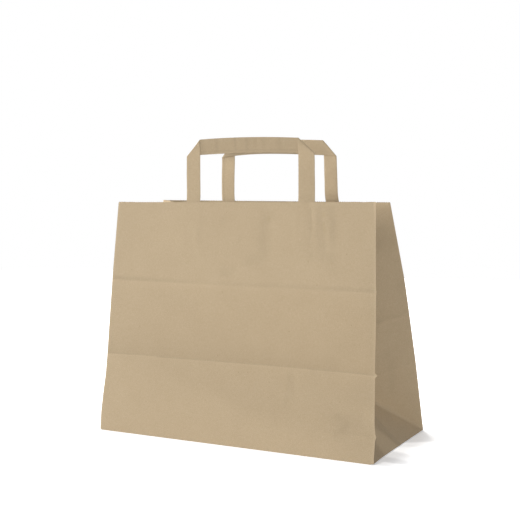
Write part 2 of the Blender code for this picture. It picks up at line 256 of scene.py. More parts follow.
def lattice_noise(x, y, cell, seed):
    """Random heights on a square lattice of this cell, blended by smoothstep between them."""
    values = np.random.default_rng(seed).uniform(-1, 1, (64, 64))
    gx, gy = x / cell + 17.3, y / cell + 9.1
    ix, iy = np.floor(gx).astype(int), np.floor(gy).astype(int)
    fx, fy = smoothstep(0, 1, gx - ix), smoothstep(0, 1, gy - iy)
    a = values[ix % 64, iy % 64] * (1 - fx) + values[(ix + 1) % 64, iy % 64] * fx
    b = values[ix % 64, (iy + 1) % 64] * (1 - fx) + values[(ix + 1) % 64, (iy + 1) % 64] * fx
    return a * (1 - fy) + b * fy


def fold_mark(x, v, start, end, width, height):
    """Soft ridge (or groove, below zero) along a stretch, fading out towards both its ends."""
    along = np.array(end, float) - np.array(start, float)
    length = math.hypot(*along)
    along /= length
    t = ((x - start[0]) * along[0] + (v - start[1]) * along[1]) / length
    d = (x - start[0]) * along[1] - (v - start[1]) * along[0]
    taper = smoothstep(-0.15, 0.25, t) * smoothstep(1.15, 0.75, t)
    return height * np.exp(-(d / width) ** 2) * taper


class Tube:
    """The standing sheet: corner folds, panels and gussets as functions of the sheet."""

    def __init__(self, bag):
        self.bag = bag
        self.levels = (0.0, bag.low_crease, bag.high_crease, bag.height)
        self.front_left = self.corner_points(-1, -1, FRONT_LEFT_IN, FRONT_SWAY)
        self.front_right = self.corner_points(-1, 1, FRONT_RIGHT_IN, FRONT_SWAY)
        self.rear_right = self.corner_points(1, 1, REAR_RIGHT_IN, REAR_SWAY)
        self.rear_left = self.corner_points(1, -1, REAR_LEFT_IN, REAR_SWAY)
        self.right_centre = self.centre_points(self.front_right, self.rear_right, 1)
        self.left_centre = self.centre_points(self.front_left, self.rear_left, -1)

    def corner_points(self, side, end, moved_in, sway):
        """A corner fold at each level; each stretch keeps the length of its paper."""
        points = []
        for level, height in enumerate(self.levels):
            x = end * self.bag.width / 2 + sway[level]
            y = side * (self.bag.depth / 2 - moved_in[level])
            z = BASE_HEIGHT
            if level:
                length = height - self.levels[level - 1]
                across = math.hypot(x - points[-1][0], y - points[-1][1])
                z = points[-1][2] + math.sqrt(length ** 2 - across ** 2)
            points.append((x, y, z))
        return np.array(points)

    def centre_points(self, front, rear, end):
        """A gusset's centre fold: half the gusset's paper from both corners, and dropped."""
        points = [(front[0] + rear[0]) / 2]
        for level in range(1, len(self.levels)):
            across = rear[level] - front[level]
            half = np.linalg.norm(across) / 2
            drop = CENTRE_DROP[level]
            pushed = math.sqrt((self.bag.depth / 2) ** 2 - half ** 2 - drop ** 2)
            inward = np.array((-end * across[1], end * across[0], 0.0))
            inward /= np.linalg.norm(inward)
            middle = (front[level] + rear[level]) / 2
            points.append(middle + inward * pushed - np.array((0, 0, drop)))
        return np.array(points)

    def stray(self, table, v):
        """Sideways stray of a corner fold at each height, as a vector along X."""
        heights = [row[0] for row in table]
        points = [(row[1], 0.0, 0.0) for row in table]
        return bent_line(heights, points, v, STRAY_BEND)

    def dents(self, v, inset):
        """Distance along X of the right fold's sharp dents; each fades 6 mm into the sheet."""
        out = np.zeros(np.broadcast(v, inset).shape)
        for height, distance, half_height in FRONT_RIGHT_DENTS:
            out += distance * np.exp(-((v - height) / half_height) ** 2 - inset / DENT_REACH)
        return out

    def panel(self, left, right, p, v, strays=(None, None)):
        """Panel between two corner folds, p from 0 to 1 across it: their straight blend."""
        first = bent_line(self.levels, left, v, self.bag.bend)
        last = bent_line(self.levels, right, v, self.bag.bend)
        out = first + (last - first) * p[..., None]
        if strays[0]:
            out = out + self.stray(strays[0], v) * ((1 - p) ** 4)[..., None]
        if strays[1]:
            out = out + self.stray(strays[1], v) * (p ** 4)[..., None]
        return out

    def gusset(self, corner, centre, a, v, stray=None):
        """Half a gusset, a from 0 at its corner fold to 1 at its centre fold.

        The corner fold plus a times the way to the centre fold. Under the diagonal from
        the base's corner, the paper is turned back to the base's edge by the part of a
        that exceeds v over the bottom fold's height.
        """
        bend = self.bag.bend
        spread = centre - corner
        spread[0] = spread[1]
        out = bent_line(self.levels, corner, v, bend)
        rounded = 1 - np.sqrt((1 - a) ** 2 + 0.012 ** 2)
        out = out + bent_line(self.levels, spread, v, bend) * rounded[..., None]
        turn = centre[1] - centre[0] - corner[1] + corner[0]
        excess = ramp(a - v / self.bag.low_crease, TURN_ROUND)
        out = out - excess[..., None] * turn
        high = np.clip((v - self.levels[1]) / (self.levels[3] - self.levels[1]), 0, 1)
        drop = np.interp(v, self.levels, CENTRE_DROP)
        out[..., 2] += drop * high * a * (1 - a)
        if stray:
            out = out + self.stray(stray, v) * ((1 - a) ** 3)[..., None]
            if stray is FRONT_RIGHT_STRAY:
                out[..., 0] += self.dents(v, a * self.bag.depth / 2)
        else:
            out[..., 2] += self.rear_cut(v) * (1 - a)
        return out

    def front(self, p, v):
        """The front panel, its creases a little out of level.

        The height is shifted by a parabola around the imprint, and around both creases by
        the cube of the share of the way that is left to the right end.
        """
        high = np.exp(-((v - self.levels[2]) / 0.03) ** 2)
        low = np.exp(-((v - self.levels[1]) / 0.03) ** 2)
        end = (1 - p) ** 3
        shift = high * (0.0018 * 4 * p * (1 - p) + 0.0012 * end) - low * 0.0018 * end
        out = self.panel(self.front_left, self.front_right, p, v + shift,
                         (FRONT_LEFT_STRAY, FRONT_RIGHT_STRAY))
        out[..., 0] += self.dents(v, (1 - p) * self.bag.width)
        return out

    def rear(self, p, v):
        """The rear panel, stretched a little to its higher mouth."""
        return self.panel(self.rear_right, self.rear_left, p, v + self.rear_cut(v))

    def rear_cut(self, v):
        """The mouth is cut a little higher at the rear."""
        return MOUTH_STEP * smoothstep(self.levels[2], self.levels[3], v)


# Relief of the sheet, in metres along its outward side

def crease_heights(p, bag):
    """Height up the panel of its two creases at the share p of its width."""
    low = bag.low_crease + np.interp(p, (0.0, 0.6, 1.0), (0.0012, 0.0006, -0.0003))
    high = bag.high_crease - np.interp(p, (0.0, 0.12, 0.25, 0.5, 0.7, 1.0),
                                      (0.0033, 0.0036, 0.0043, 0.0038, 0.0032, 0.0016))
    return low, high


def crossing_creases(x, v, width, bag, left=1.0, middle=0.35, right=0.8):
    """Bottom fold and base imprint: each a shallow valley, wide above and short below.

    The paper over a crease runs in towards it on a slow curve and comes out again in a
    quarter of that run. The imprint is deep at the panel's sides and faint in between.
    """
    p = x / width
    side = (middle + (left - middle) * smoothstep(0.42, 0.15, p)
            + (right - middle) * smoothstep(0.6, 0.85, p))

    def valley(h):
        return np.where(h > 0, np.exp(-(h / 0.0052) ** 2), np.exp(-(h / 0.0020) ** 2))

    low, high = crease_heights(p, bag)
    return -0.00055 * valley(v - low) - 0.00034 * side * valley(v - high)


def front_relief(x, v, bag, handles):
    """Marks on the front: handle legs and patch pressing through, and a few soft folds."""
    edges = bag.width / 2 + np.array(FRONT_LEGS[0])
    middle = edges.mean()
    out = crossing_creases(x, v, bag.width, bag)
    top = bag.height
    for u in edges:
        out += fold_mark(x, v, (u, top - handles.drop), (u, top + 0.02), 0.0022, 0.00022)
    end = top - handles.drop
    for left, right in (edges[:2], edges[2:]):
        out += fold_mark(x, v, (left, end), (right, end), 0.0016, 0.00018)
    patch = top - handles.patch_bottom
    out += fold_mark(x, v, (middle - 0.1, patch), (middle + 0.1, patch), 0.0018, 0.00016)
    # soft folds that the photo shows: under the right leg, beside the middle, under the
    # bottom fold, and the crease that runs in from the kink above the right base corner
    right = edges[3]
    for start, stop, width, height in (
            ((right - 0.004, 0.262), (right - 0.001, 0.196), 0.004, -0.0006),
            ((right + 0.010, 0.262), (right + 0.014, 0.20), 0.005, -0.0005),
            ((0.200, 0.262), (0.198, 0.200), 0.008, -0.0006),
            ((0.180, 0.202), (0.205, 0.200), 0.003, -0.0003),
            ((0.231, 0.085), (0.236, 0.055), 0.0022, -0.0003),
            ((0.262, 0.0245), (0.330, 0.0250), 0.0022, 0.0005),
            ((0.275, 0.040), (0.330, 0.046), 0.009, -0.0012),
            ((0.140, 0.186), (0.165, 0.180), 0.006, -0.0004)):
        out += fold_mark(x, v, start, stop, width, height)
    return out


def crease_shade(x, v, width, bag, left=1.0, middle=1.0, right=1.0):
    """Painted shade and painted light along the two creases that cross a panel, shade above zero.

    Over the bottom fold a band of painted shade fades upwards along exp(-h / reach), a long
    reach on the left and a short one on the right, and under it the sheet is painted a little
    paler. The imprint has a soft band of painted shade over it, a bell curve of 2.6 mm around
    h = 2.2 mm, and a pale band of painted light below that fades in 5 mm. Both bands weaken
    and come back along the panel.
    """
    p = x / width
    low_height, high_height = crease_heights(p, bag)
    part = np.interp(p, (0.0, 0.3, 0.55, 0.8, 1.0), (left, left, middle, right, right))
    low = v - low_height
    reach = np.interp(p, (0.0, 0.6, 0.8, 0.9, 1.0), (0.018, 0.017, 0.012, 0.0060, 0.0045))
    strength = np.interp(p, (0.0, 0.55, 0.72, 1.0), (0.185, 0.195, 0.190, 0.17))
    # painted shade over the bottom fold, and painted light under it
    out = np.where(low > 0, strength * np.exp(-np.maximum(low, 0) / reach),
                   -0.085 * np.exp(np.minimum(low, 0) / 0.010)) * part
    high = v - high_height
    dull = np.interp(p, (0.0, 0.12, 0.25, 0.36, 0.42, 0.52, 0.8, 0.92),
                     (0.19, 0.18, 0.12, 0.03, 0.03, 0.08, 0.08, 0.12))
    pale = np.interp(p, (0.0, 0.3, 0.42, 0.5, 0.8, 0.9), (0.08, 0.10, 0.10, 0.03, 0.03, 0.07))
    # painted shade over the base imprint, and painted light under it
    out += part * (dull * np.exp(-((high - 0.0022) / 0.0026) ** 2)
                   - np.where(high < 0, pale * np.exp(np.minimum(high, 0) / 0.0050), 0))
    return out


def smudges_and_shade(x, v, marks):
    """Sum of soft dark marks, smudge marks and painted fold shade; edges drift 2 mm, strength
    patchy.
    """
    out = np.zeros_like(x)
    drift = 0.002 * lattice_noise(x, v, 0.012, 19)
    for start, end, half_width, strength in marks:
        out += fold_mark(x + drift, v + drift, start, end, half_width, strength)
    return out * (1 + 0.45 * lattice_noise(x, v, 0.006, 27))


def seeded_marks(seed, count, width, height):
    """Seeded smudge marks for the panels that the photo doesn't show."""
    rng = np.random.default_rng(seed)
    marks = []
    for _ in range(count):
        start = rng.uniform((0.02, 0.02), (width - 0.02, height - 0.02))
        angle = rng.uniform(0, math.pi)
        end = start + rng.uniform(0.01, 0.04) * np.array((math.cos(angle), math.sin(angle)))
        marks.append((start, end, rng.uniform(0.002, 0.006), rng.uniform(0.03, 0.10)))
    return marks


def loose_relief(x, v, seed, count, width, height, strength):
    """Seeded soft folds scattered over a panel, as a bag gets from being opened once."""
    rng = np.random.default_rng(seed)
    out = np.zeros_like(x)
    for _ in range(count):
        start = np.array((rng.uniform(0.02, width - 0.02), rng.uniform(0.02, height - 0.02)))
        angle = rng.uniform(0, math.pi)
        length = rng.uniform(0.02, 0.07)
        end = start + length * np.array((math.cos(angle), math.sin(angle)))
        depth = rng.uniform(-1, 1) * strength
        out += fold_mark(x, v, start, end, rng.uniform(0.002, 0.005), depth)
    return out


def paper_relief(x, v, seed):
    """Slow swell and cockle of a dry sheet: noise at 60 mm and at 17 mm."""
    swell = 0.0007 * lattice_noise(x, v, 0.06, seed)
    return swell + 0.00012 * lattice_noise(x, v, 0.017, seed + 1)


def grid_rows(bag):
    """Heights of the mesh rows: even, and closer at the base, the creases and the mouth."""
    even = np.arange(0, bag.height, bag.step)
    even = even[even < bag.height - bag.step * 0.7]
    at_crease = (-0.0050, -0.0034, -0.0022, -0.0014, -0.0008, -0.0002,
                 0.0002, 0.0010, 0.0020, 0.0034, 0.0050)
    at_dent = (-0.0024, -0.0012, 0.0, 0.0012, 0.0024)
    close = []
    for place, room, offsets in ((bag.low_crease, 0.0062, at_crease),
                                 (bag.high_crease, 0.0062, at_crease),
                                 (FRONT_RIGHT_DENTS[1][0], 0.0030, at_dent)):
        even = even[np.abs(even - place) > room]
        close += [place + offset for offset in offsets]
    return np.sort(np.concatenate([even, close, [0.0008, bag.height - bag.tooth]]))


def mesh_normals(points, faces):
    """Unit normal at each point: the sum of its faces' areas as vectors, made unit long."""
    diagonal_a = points[faces[:, 2]] - points[faces[:, 0]]
    diagonal_b = points[faces[:, 3]] - points[faces[:, 1]]
    area = np.cross(diagonal_a, diagonal_b)
    out = np.zeros_like(points)
    for k in range(4):
        np.add.at(out, faces[:, k], area)
    return out / np.maximum(np.linalg.norm(out, axis=1), 1e-12)[:, None]


def wrapped_quads(index, following):
    """Quads between neighbouring rows of point numbers, closed around each row."""
    quads = np.stack([index[:-1], following[:-1], following[1:], index[1:]], axis=-1)
    return quads.reshape(-1, 4)


def new_piece(name, points, faces, material, uv=None, attributes=None, smooth=True, sharp=None):
    """Mesh object at the origin from points and faces, with a UV map in metres."""
    mesh = bpy.data.meshes.new(name)
    mesh.from_pydata(np.asarray(points).tolist(), [], [list(map(int, face)) for face in faces])
    mesh.validate()
    if uv is not None:
        layer = mesh.uv_layers.new(name="sheet")
        corner = np.empty(len(mesh.loops), int)
        mesh.loops.foreach_get("vertex_index", corner)
        layer.data.foreach_set("uv", np.asarray(uv)[corner].ravel())
    for label, values in (attributes or {}).items():
        layer = mesh.attributes.new(label, "FLOAT", "POINT")
        layer.data.foreach_set("value", np.asarray(values, float))
    mesh.materials.append(material)
    if smooth:
        mesh.shade_smooth()
    if sharp:
        mesh.set_sharp_from_angle(angle=sharp)
    piece = bpy.data.objects.new(name, mesh)
    bpy.context.scene.collection.objects.link(piece)
    return piece


def base_flap(bag, side, bottom, top, start):
    """Prism under the base: a flap with sides at 45 degrees, from the front or the rear edge."""
    rim = bag.depth / 2 - 0.0004
    long_half = bag.width / 2 - 0.0008
    short_half = long_half - rim - bag.flap_reach
    outline = np.array([(-long_half, -rim), (long_half, -rim),
                        (short_half, bag.flap_reach), (-short_half, bag.flap_reach)])
    outline[:, 1] *= -side
    if side > 0:
        outline = outline[::-1]
    skew = REAR_SWAY[0] * (outline[:, 1] + bag.depth / 2) / bag.depth
    lower = np.column_stack([outline[:, 0] + skew, outline[:, 1], np.full(4, bottom)])
    upper = lower + np.array((0, 0, top - bottom))
    faces = [[start + 3, start + 2, start + 1, start], [start + 4, start + 5, start + 6, start + 7]]
    for i in range(4):
        j = (i + 1) % 4
        faces.append([start + i, start + j, start + 4 + j, start + 4 + i])
    points = np.vstack([lower, upper])
    return points, faces, np.vstack([outline, outline]) + 0.5


def gusset_shading_and_smudge(name, x, share, v, length, bag, number):
    """Darker and paler marks of half a gusset: painted crease shade, seeded smudge marks, a dark
    line across it with a pale one below, and painted light and shade.

    Painted light makes the mouth paler, fading down exponentially, painted shade darkens a
    bell curve under it, and painted light makes a pale triangle under the diagonal of the
    rear right half.
    """
    rub = crease_shade(x, v, length, bag, 0.15, 0.15, 0.15)
    rub += smudges_and_shade(x, v, seeded_marks(53 + number, 8, length, bag.height))
    rub += smudges_and_shade(x, v, [((0.0, 0.1395), (length, 0.1395), 0.0024, 0.14),
                          ((0.0, 0.1355), (length, 0.1355), 0.0020, -0.08)])
    # painted light: the gusset's mouth is paler, fading downwards
    rub -= GUSSET_MOUTH_LIGHT * np.exp((v - bag.height) / GUSSET_MOUTH_REACH)
    # painted shade: a darker band under the mouth
    below_mouth = (v - bag.height + GUSSET_BAND_DEPTH) / GUSSET_BAND_HALF
    rub += GUSSET_BAND_SHADE * np.exp(-below_mouth ** 2)
    if name == "right_rear":
        under = share * bag.low_crease - v
        # painted light: a paler triangle under the diagonal of the rear right half
        rub -= TRIANGLE_LIGHT * smoothstep(0.0, 0.010, under) * smoothstep(1.0, 0.9, share)
    return rub


def sheet_wear(name, x, share, v, length, bag):
    """Pale scuffs: bell curves along both creases, the corner folds and the diagonals."""
    panel = name in ("front", "rear")
    low, high = crease_heights(x / length, bag)
    crease = 0.4 * np.exp(-((v - low + 0.0012) / 0.0013) ** 2)
    crease = np.maximum(crease, 0.22 * np.exp(-((v - high + 0.0012) / 0.0020) ** 2))
    fold = np.exp(-(np.minimum(x, length - x) / 0.0018) ** 2)
    if not panel:
        crease = crease * 0.3
        diagonal = np.abs(share - v / bag.low_crease) * length
        on_diagonal = 0.8 * np.exp(-(diagonal / 0.002) ** 2) * (v < bag.low_crease)
        fold = np.maximum(fold, on_diagonal)
    return np.maximum(crease, fold)


def base_grid(ring, across, gusset_count, column_count, first_inner):
    """The base's points and point numbers: a blend of the four edges of the lowest row.

    Each inner point is the blend of front and rear, plus that of left and right, less
    that of the four corners. The inner points are numbered from first_inner on.
    """
    front_ids = np.arange(0, across + 1)
    right_ids = np.arange(across, across + gusset_count + 1)
    rear_ids = np.arange(2 * across + gusset_count, across + gusset_count - 1, -1)
    left_ids = np.append(0, np.arange(column_count - 1, 2 * across + gusset_count - 1, -1))
    xi = np.linspace(0, 1, across + 1)[None, :, None]
    eta = np.linspace(0, 1, gusset_count + 1)[:, None, None]
    front, rear, left, right = ring[front_ids], ring[rear_ids], ring[left_ids], ring[right_ids]
    blend = ((1 - eta) * front[None] + eta * rear[None]
             + (1 - xi) * left[:, None] + xi * right[:, None])
    blend = blend - (1 - xi) * (1 - eta) * front[0] - xi * (1 - eta) * front[-1]
    blend = blend - (1 - xi) * eta * rear[0] - xi * eta * rear[-1]
    base = np.full((gusset_count + 1, across + 1), -1)
    base[0], base[-1] = front_ids, rear_ids
    base[:, 0], base[:, -1] = left_ids, right_ids
    inner = (gusset_count - 1) * (across - 1)
    base[1:-1, 1:-1] = first_inner + np.arange(inner).reshape(gusset_count - 1, across - 1)
    return blend[1:-1, 1:-1], base, inner


def make_sheet(bag, handles, material):
    """The bag's sheet as one thin closed shell.

    The wall is a grid around the tube and up it, the base a blend of its four edges.
    Both are moved out by their relief, and then each point splits into an outer and an
    inner one, half a layer to each side. The mouth ends in a tooth over each column.
    """
    tube = Tube(bag)
    rows = grid_rows(bag)
    across = int(round(bag.width / bag.step)) + 1
    half = int(round(bag.depth / 2 / bag.step))
    p = np.linspace(0, 1, across + 1)[:-1]
    a = np.linspace(0, 1, half + 1)[:-1]
    sections = [
        ("front", p, 0.0, bag.width),
        ("right_front", a, bag.width, bag.depth / 2),
        ("right_rear", 1 - a, bag.width + bag.depth / 2, bag.depth / 2),
        ("rear", p, bag.width + bag.depth, bag.width),
        ("left_rear", a, 2 * bag.width + bag.depth, bag.depth / 2),
        ("left_front", 1 - a, 2 * bag.width + 1.5 * bag.depth, bag.depth / 2),
    ]
    walls, reliefs, wears, shadings_and_smudges, uvs = [], [], [], [], []
    for name, share, start, length in sections:
        grid_share, grid_v = np.meshgrid(share, rows)
        x = (grid_share if share[0] < 0.5 or name in ("front", "rear") else 1 - grid_share) * length
        if name == "front":
            points = tube.front(grid_share, grid_v)
            relief = front_relief(x, grid_v, bag, handles)
            relief += loose_relief(x, grid_v, 5, 14, length, bag.height, 0.00022)
            # painted shade and light of the front's creases, and its dark marks, most of them
            # painted shade of soft folds and leg imprints
            rub = crease_shade(x, grid_v, length, bag) + smudges_and_shade(x, grid_v, FRONT_SHADE_AND_SMUDGES)
            # painted shade over the right part of the front, deeper in its lowest 4 cm
            rub += (smoothstep(0.78, 0.97, grid_share)
                    * (FRONT_RIGHT_SHADE + FRONT_RIGHT_LOW_SHADE * smoothstep(0.04, 0.0, grid_v)))
        elif name == "rear":
            points = tube.rear(grid_share, grid_v)
            relief = crossing_creases(x, grid_v, length, bag, 0.5, 0.2, 0.6)
            relief += loose_relief(x, grid_v, 11, 22, length, bag.height, 0.0004)
            # painted shade and light of the rear's creases, then seeded smudge marks
            rub = crease_shade(x, grid_v, length, bag, 0.6, 0.5, 0.8)
            rub += smudges_and_shade(x, grid_v, seeded_marks(31, 16, length, bag.height))
            lap = bag.width - bag.lap_inset
            inside = smoothstep(lap - bag.lap_width - 0.001, lap - bag.lap_width + 0.001, x)
            relief += bag.paper * inside * smoothstep(lap + 0.001, lap - 0.001, x)
        else:
            corner, centre = {
                "right_front": (tube.front_right, tube.right_centre),
                "right_rear": (tube.rear_right, tube.right_centre),
                "left_rear": (tube.rear_left, tube.left_centre),
                "left_front": (tube.front_left, tube.left_centre),
            }[name]
            stray = {"right_front": FRONT_RIGHT_STRAY, "left_front": FRONT_LEFT_STRAY}.get(name)
            points = tube.gusset(corner, centre, grid_share, grid_v, stray)
            relief = loose_relief(x, grid_v, 23 + len(walls), 8, length, bag.height, 0.0003)
            rub = gusset_shading_and_smudge(name, x, grid_share, grid_v, length, bag, len(walls))
        relief += paper_relief(x + start, grid_v, 41)
        border = np.minimum(x, length - x)
        stiff = smoothstep(0.0, 0.012, border) * smoothstep(0.0, 0.012, grid_v)
        walls.append(points)
        reliefs.append(relief * stiff)
        wears.append(sheet_wear(name, x, grid_share, grid_v, length, bag))
        shadings_and_smudges.append(rub)
        uvs.append(np.stack([x + start, grid_v], axis=-1))
    wall, relief, wear, rub, uv = (np.concatenate(parts, axis=1)
                                   for parts in (walls, reliefs, wears, shadings_and_smudges, uvs))
    row_count, column_count = relief.shape

    index = np.arange(row_count * column_count).reshape(row_count, column_count)
    following = np.roll(index, -1, axis=1)
    faces = wrapped_quads(index, following)

    base_points, base, inner = base_grid(wall[0], across, 2 * half, column_count,
                                         row_count * column_count)
    base_faces = np.stack([base[:-1, :-1], base[1:, :-1], base[1:, 1:], base[:-1, 1:]],
                          axis=-1).reshape(-1, 4)
    points = np.vstack([wall.reshape(-1, 3), base_points.reshape(-1, 3)])
    faces = np.vstack([faces, base_faces])
    base_uv = base_points[:, :, :2].reshape(-1, 2) + 0.5
    uv = np.vstack([uv.reshape(-1, 2), base_uv])
    relief, wear, rub = (np.concatenate([values.ravel(), np.zeros(inner)])
                         for values in (relief, wear, rub))

    points = points + mesh_normals(points, faces) * relief[:, None]
    normals = mesh_normals(points, faces)
    count = len(points)
    outer = points + normals * bag.paper / 2
    inside = points - normals * bag.paper / 2

    # one tooth over each column of the mouth
    top = index[-1]
    top_next = following[-1]
    rise = wall[-1] - wall[-2]
    rise /= np.linalg.norm(rise, axis=1)[:, None]
    peak = (points[top] + points[top_next]) / 2 + rise * bag.tooth
    side = (normals[top] + normals[top_next]) / 2
    outer_peak = peak + side * bag.paper / 2
    inner_peak = peak - side * bag.paper / 2
    first_peak = 2 * count + np.arange(column_count)
    second_peak = first_peak + column_count
    all_points = np.vstack([outer, inside, outer_peak, inner_peak])
    all_faces = faces.tolist() + (faces[:, ::-1] + count).tolist()
    for ring in ((top, top_next, first_peak),
                 (top_next + count, top + count, second_peak),
                 (top, first_peak, second_peak, top + count),
                 (first_peak, top_next, top_next + count, second_peak)):
        all_faces += np.stack(ring, axis=-1).tolist()
    peak_uv = uv[top] + np.array((bag.step / 2, bag.tooth))
    all_uv = np.vstack([uv, uv, peak_uv, peak_uv])
    all_wear = np.concatenate([wear, wear, np.ones(2 * column_count) * 0.6])
    all_shading_and_smudge = np.concatenate([rub, rub / 2, np.zeros(2 * column_count)])

    # the two glued flaps under the base
    layer = bag.paper
    for side_sign, bottom in ((1, layer), (-1, 0.0)):
        flap, flap_faces, flap_uv = base_flap(bag, side_sign, bottom,
                                              2 * layer + LAYER_BITE * layer, len(all_points))
        all_points = np.vstack([all_points, flap])
        all_faces += flap_faces
        all_uv = np.vstack([all_uv, flap_uv])
        all_wear = np.concatenate([all_wear, np.zeros(len(flap))])
        all_shading_and_smudge = np.concatenate([all_shading_and_smudge, np.zeros(len(flap))])
    return new_piece("kraft_sheet", all_points, all_faces, material, all_uv,
                     {"wear": all_wear, "rub": all_shading_and_smudge}, sharp=math.radians(32))


# Places beside one panel, for its handle and patch

class PanelSide:
    """Places inside one panel and above it.

    u runs along the mouth to +X from the panel's middle, w up the paper from the mouth,
    and d into the bag from the middle of the sheet. Above the mouth the surface turns
    upright over a short bend.
    """

    def __init__(self, bag, left, right, inward):
        tube = Tube(bag)
        self.bag = bag
        self.levels = tube.levels
        self.left = getattr(tube, left)
        self.right = getattr(tube, right)
        self.inward = inward

    def surface(self, u, w):
        """The panel up to its mouth, then a line that turns upright on a parabola."""
        below = np.minimum(w, 0.0)
        p = 0.5 + u / self.bag.width
        v = self.bag.height + below
        first = bent_line(self.levels, self.left, v, self.bag.bend)
        last = bent_line(self.levels, self.right, v, self.bag.bend)
        out = first + (last - first) * p[..., None]
        upper = self.left[-1] - self.left[-2], self.right[-1] - self.right[-2]
        lean = upper[0] + (upper[1] - upper[0]) * p[..., None]
        lean = lean / np.linalg.norm(lean, axis=-1)[..., None]
        above = np.maximum(w, 0.0)
        done = np.clip(above - BEND_START, 0, BEND_END - BEND_START)
        turned = done / (BEND_END - BEND_START)
        bent = lean * (done * (1 - turned / 2))[..., None]
        bent[..., 2] += done * turned / 2
        upright = np.maximum(above - BEND_END, 0.0)
        out = out + lean * np.minimum(above, BEND_START)[..., None] + bent
        out[..., 2] += upright
        return out

    def place(self, u, w, d):
        """The surface, moved in by d along its own normal (by differences of 0.2 mm)."""
        small = 0.0002
        here = self.surface(u, w)
        along = self.surface(u + small, w) - here
        up = here - self.surface(u, w - small)
        normal = np.cross(along, up)
        normal /= np.linalg.norm(normal, axis=-1)[..., None]
        sign = np.sign(normal[..., 1:2]) * self.inward
        return here + normal * sign * d[..., None]


def strip_rows(handles):
    """Rows along the strip: place of the outer edge, and how far the row is sheared.

    The rows run straight across at both glued ends, and along the 45 degree folds at the
    two corners of the grip.
    """
    low = handles.rise - handles.strip
    middle = low + handles.span
    length = 2 * low + handles.span
    before = (-0.006, -0.003, -0.0015, -0.0008, -0.0004, -0.0002)
    near_fold = np.array((*before, 0.0, *(-step for step in before[::-1]))) * math.sqrt(2)
    first = low + near_fold
    second = middle + near_fold
    leg = np.arange(-handles.drop, first[0] - 0.0008, 0.0018)
    grip = np.linspace(first[-1] + 0.0018, second[0] - 0.0018, 74)
    other = length - leg[::-1]
    p = np.concatenate([leg, first, grip, second, other])
    shear = np.interp(p, [-handles.drop, 0.0, first[0], first[-1], second[0], second[-1],
                          length, length + handles.drop],
                      [0.0, 0.0, 1.0, 1.0, -1.0, -1.0, 0.0, 0.0])
    return p, shear


def strip_profile(handles):
    """Section of the folded strip: across it, and out of its middle plane.

    Five layers pressed flat, with round folded edges, and on the back the free edge of
    the last layer, 3 mm in from the strip's edge.
    """
    w, t = handles.strip, handles.thick
    face = np.linspace(0.0004, w - 0.0004, 11)
    back = np.concatenate([np.linspace(w - 0.0004, 0.0042, 8), [0.00335, 0.0031, 0.0016, 0.0004]])
    lip = np.where(back < 0.0032, 0.00014, 0.0)
    across = np.concatenate([face, [w - 0.0001, w, w - 0.0001], back, [0.0001, 0.0, 0.0001]])
    out = np.concatenate([np.full(11, t / 2), [t * 0.36, 0.0, -t * 0.36], -t / 2 - lip,
                          [-t * 0.4, 0.0, t * 0.36]])
    return across, out


def strip_relief(p, c, handles, seed):
    """Soft dents across the strip from being carried, and a slow wave along it."""
    out = 0.00018 * lattice_noise(p, c, 0.011, seed)
    out = out + 0.0004 * lattice_noise(p, c * 0.3, 0.035, seed + 1)
    rng = np.random.default_rng(seed)
    low = handles.rise - handles.strip
    for _ in range(7):
        place = low + rng.uniform(0.15, 0.75) * handles.span
        slant = rng.uniform(-0.006, 0.006)
        out += fold_mark(p, c, (place, -0.002), (place + slant, handles.strip + 0.002), 0.0016,
                         rng.uniform(-0.00028, 0.00028))
    return out


def strip_shading_and_smudge(p, c, handles, front):
    """Darker and paler marks of a strip: a dark line along its free edge, painted shadow of the
    leg on the grip beside the first fold, painted shade of the grip's wrinkles, and painted
    light and shade over whole parts.

    The grip's share is 0 at the first fold, 1 along the grip and 0 again past the second.
    The front grip and its right leg are darker by painted shade; the rear legs are paler by
    painted light, and the rear grip a little darker.
    """
    low = handles.rise - handles.strip
    turn = low + handles.strip
    end = low + handles.span
    rub = 0.10 * np.exp(-((c - 0.00335) / 0.0004) ** 2)
    # painted shadow of the leg on the grip, beside the first fold
    rub += np.where(p > turn, 0.32 * np.exp(-np.maximum(p - turn, 0) / 0.0032), 0.0)
    # the grip's share, over which the grip's painted shade lies
    on_grip = (smoothstep(low, turn, p)
            * smoothstep(end, turn + handles.span - 2 * handles.strip, p))
    if not front:
        # painted light on the rear legs, and slight painted shade on the rear grip
        return rub - (REAR_LEG_LIGHT - REAR_GRIP_SHADE * on_grip)
    # painted shade on the front grip
    rub += FRONT_GRIP_SHADE * on_grip
    # painted shade of soft wrinkles across the front grip
    for run, half_width, strength in GRIP_WRINKLE_SHADE:
        rub += strength * np.exp(-((p - run) / half_width) ** 2) * smoothstep(-0.004, 0.009, c)
    # painted shade on the front handle's right leg
    return rub + FRONT_LEG_SHADE * smoothstep(end, end + 0.02, p)


def folded_strip(handles, p, c):
    """Places (u, w, layer) of the strip after both corner folds.

    A leg's place is (c, p) from its lower outer corner. Beyond a 45 degree fold line the
    strip is mirrored in that line, and it turns round the line on a half circle as wide
    as one layer, so the grip lies one layer further in.
    """
    low = handles.rise - handles.strip
    r = handles.layer / 2
    root = math.sqrt(2)

    def fold(u, w):
        t = (u + (w - low)) / root
        q = ((w - low) - u) / root
        flat = np.abs(q) > math.pi * r / 2
        angle = np.clip(q / r, -1.57, 1.57)
        inner = np.where(flat, r + np.abs(q) - math.pi * r / 2, r * (1 - np.cos(angle)))
        layer = np.where(flat, np.sign(q), np.sin(angle))
        return (t + inner) / root, low + (t - inner) / root, (layer + 1) / 2

    length = 2 * low + handles.span
    mirrored = p > length / 2
    run = np.where(mirrored, length - p, p)
    u, w, layer = fold(c, run)
    u = np.where(mirrored, handles.span - u, u)
    return u - handles.span / 2, w, layer


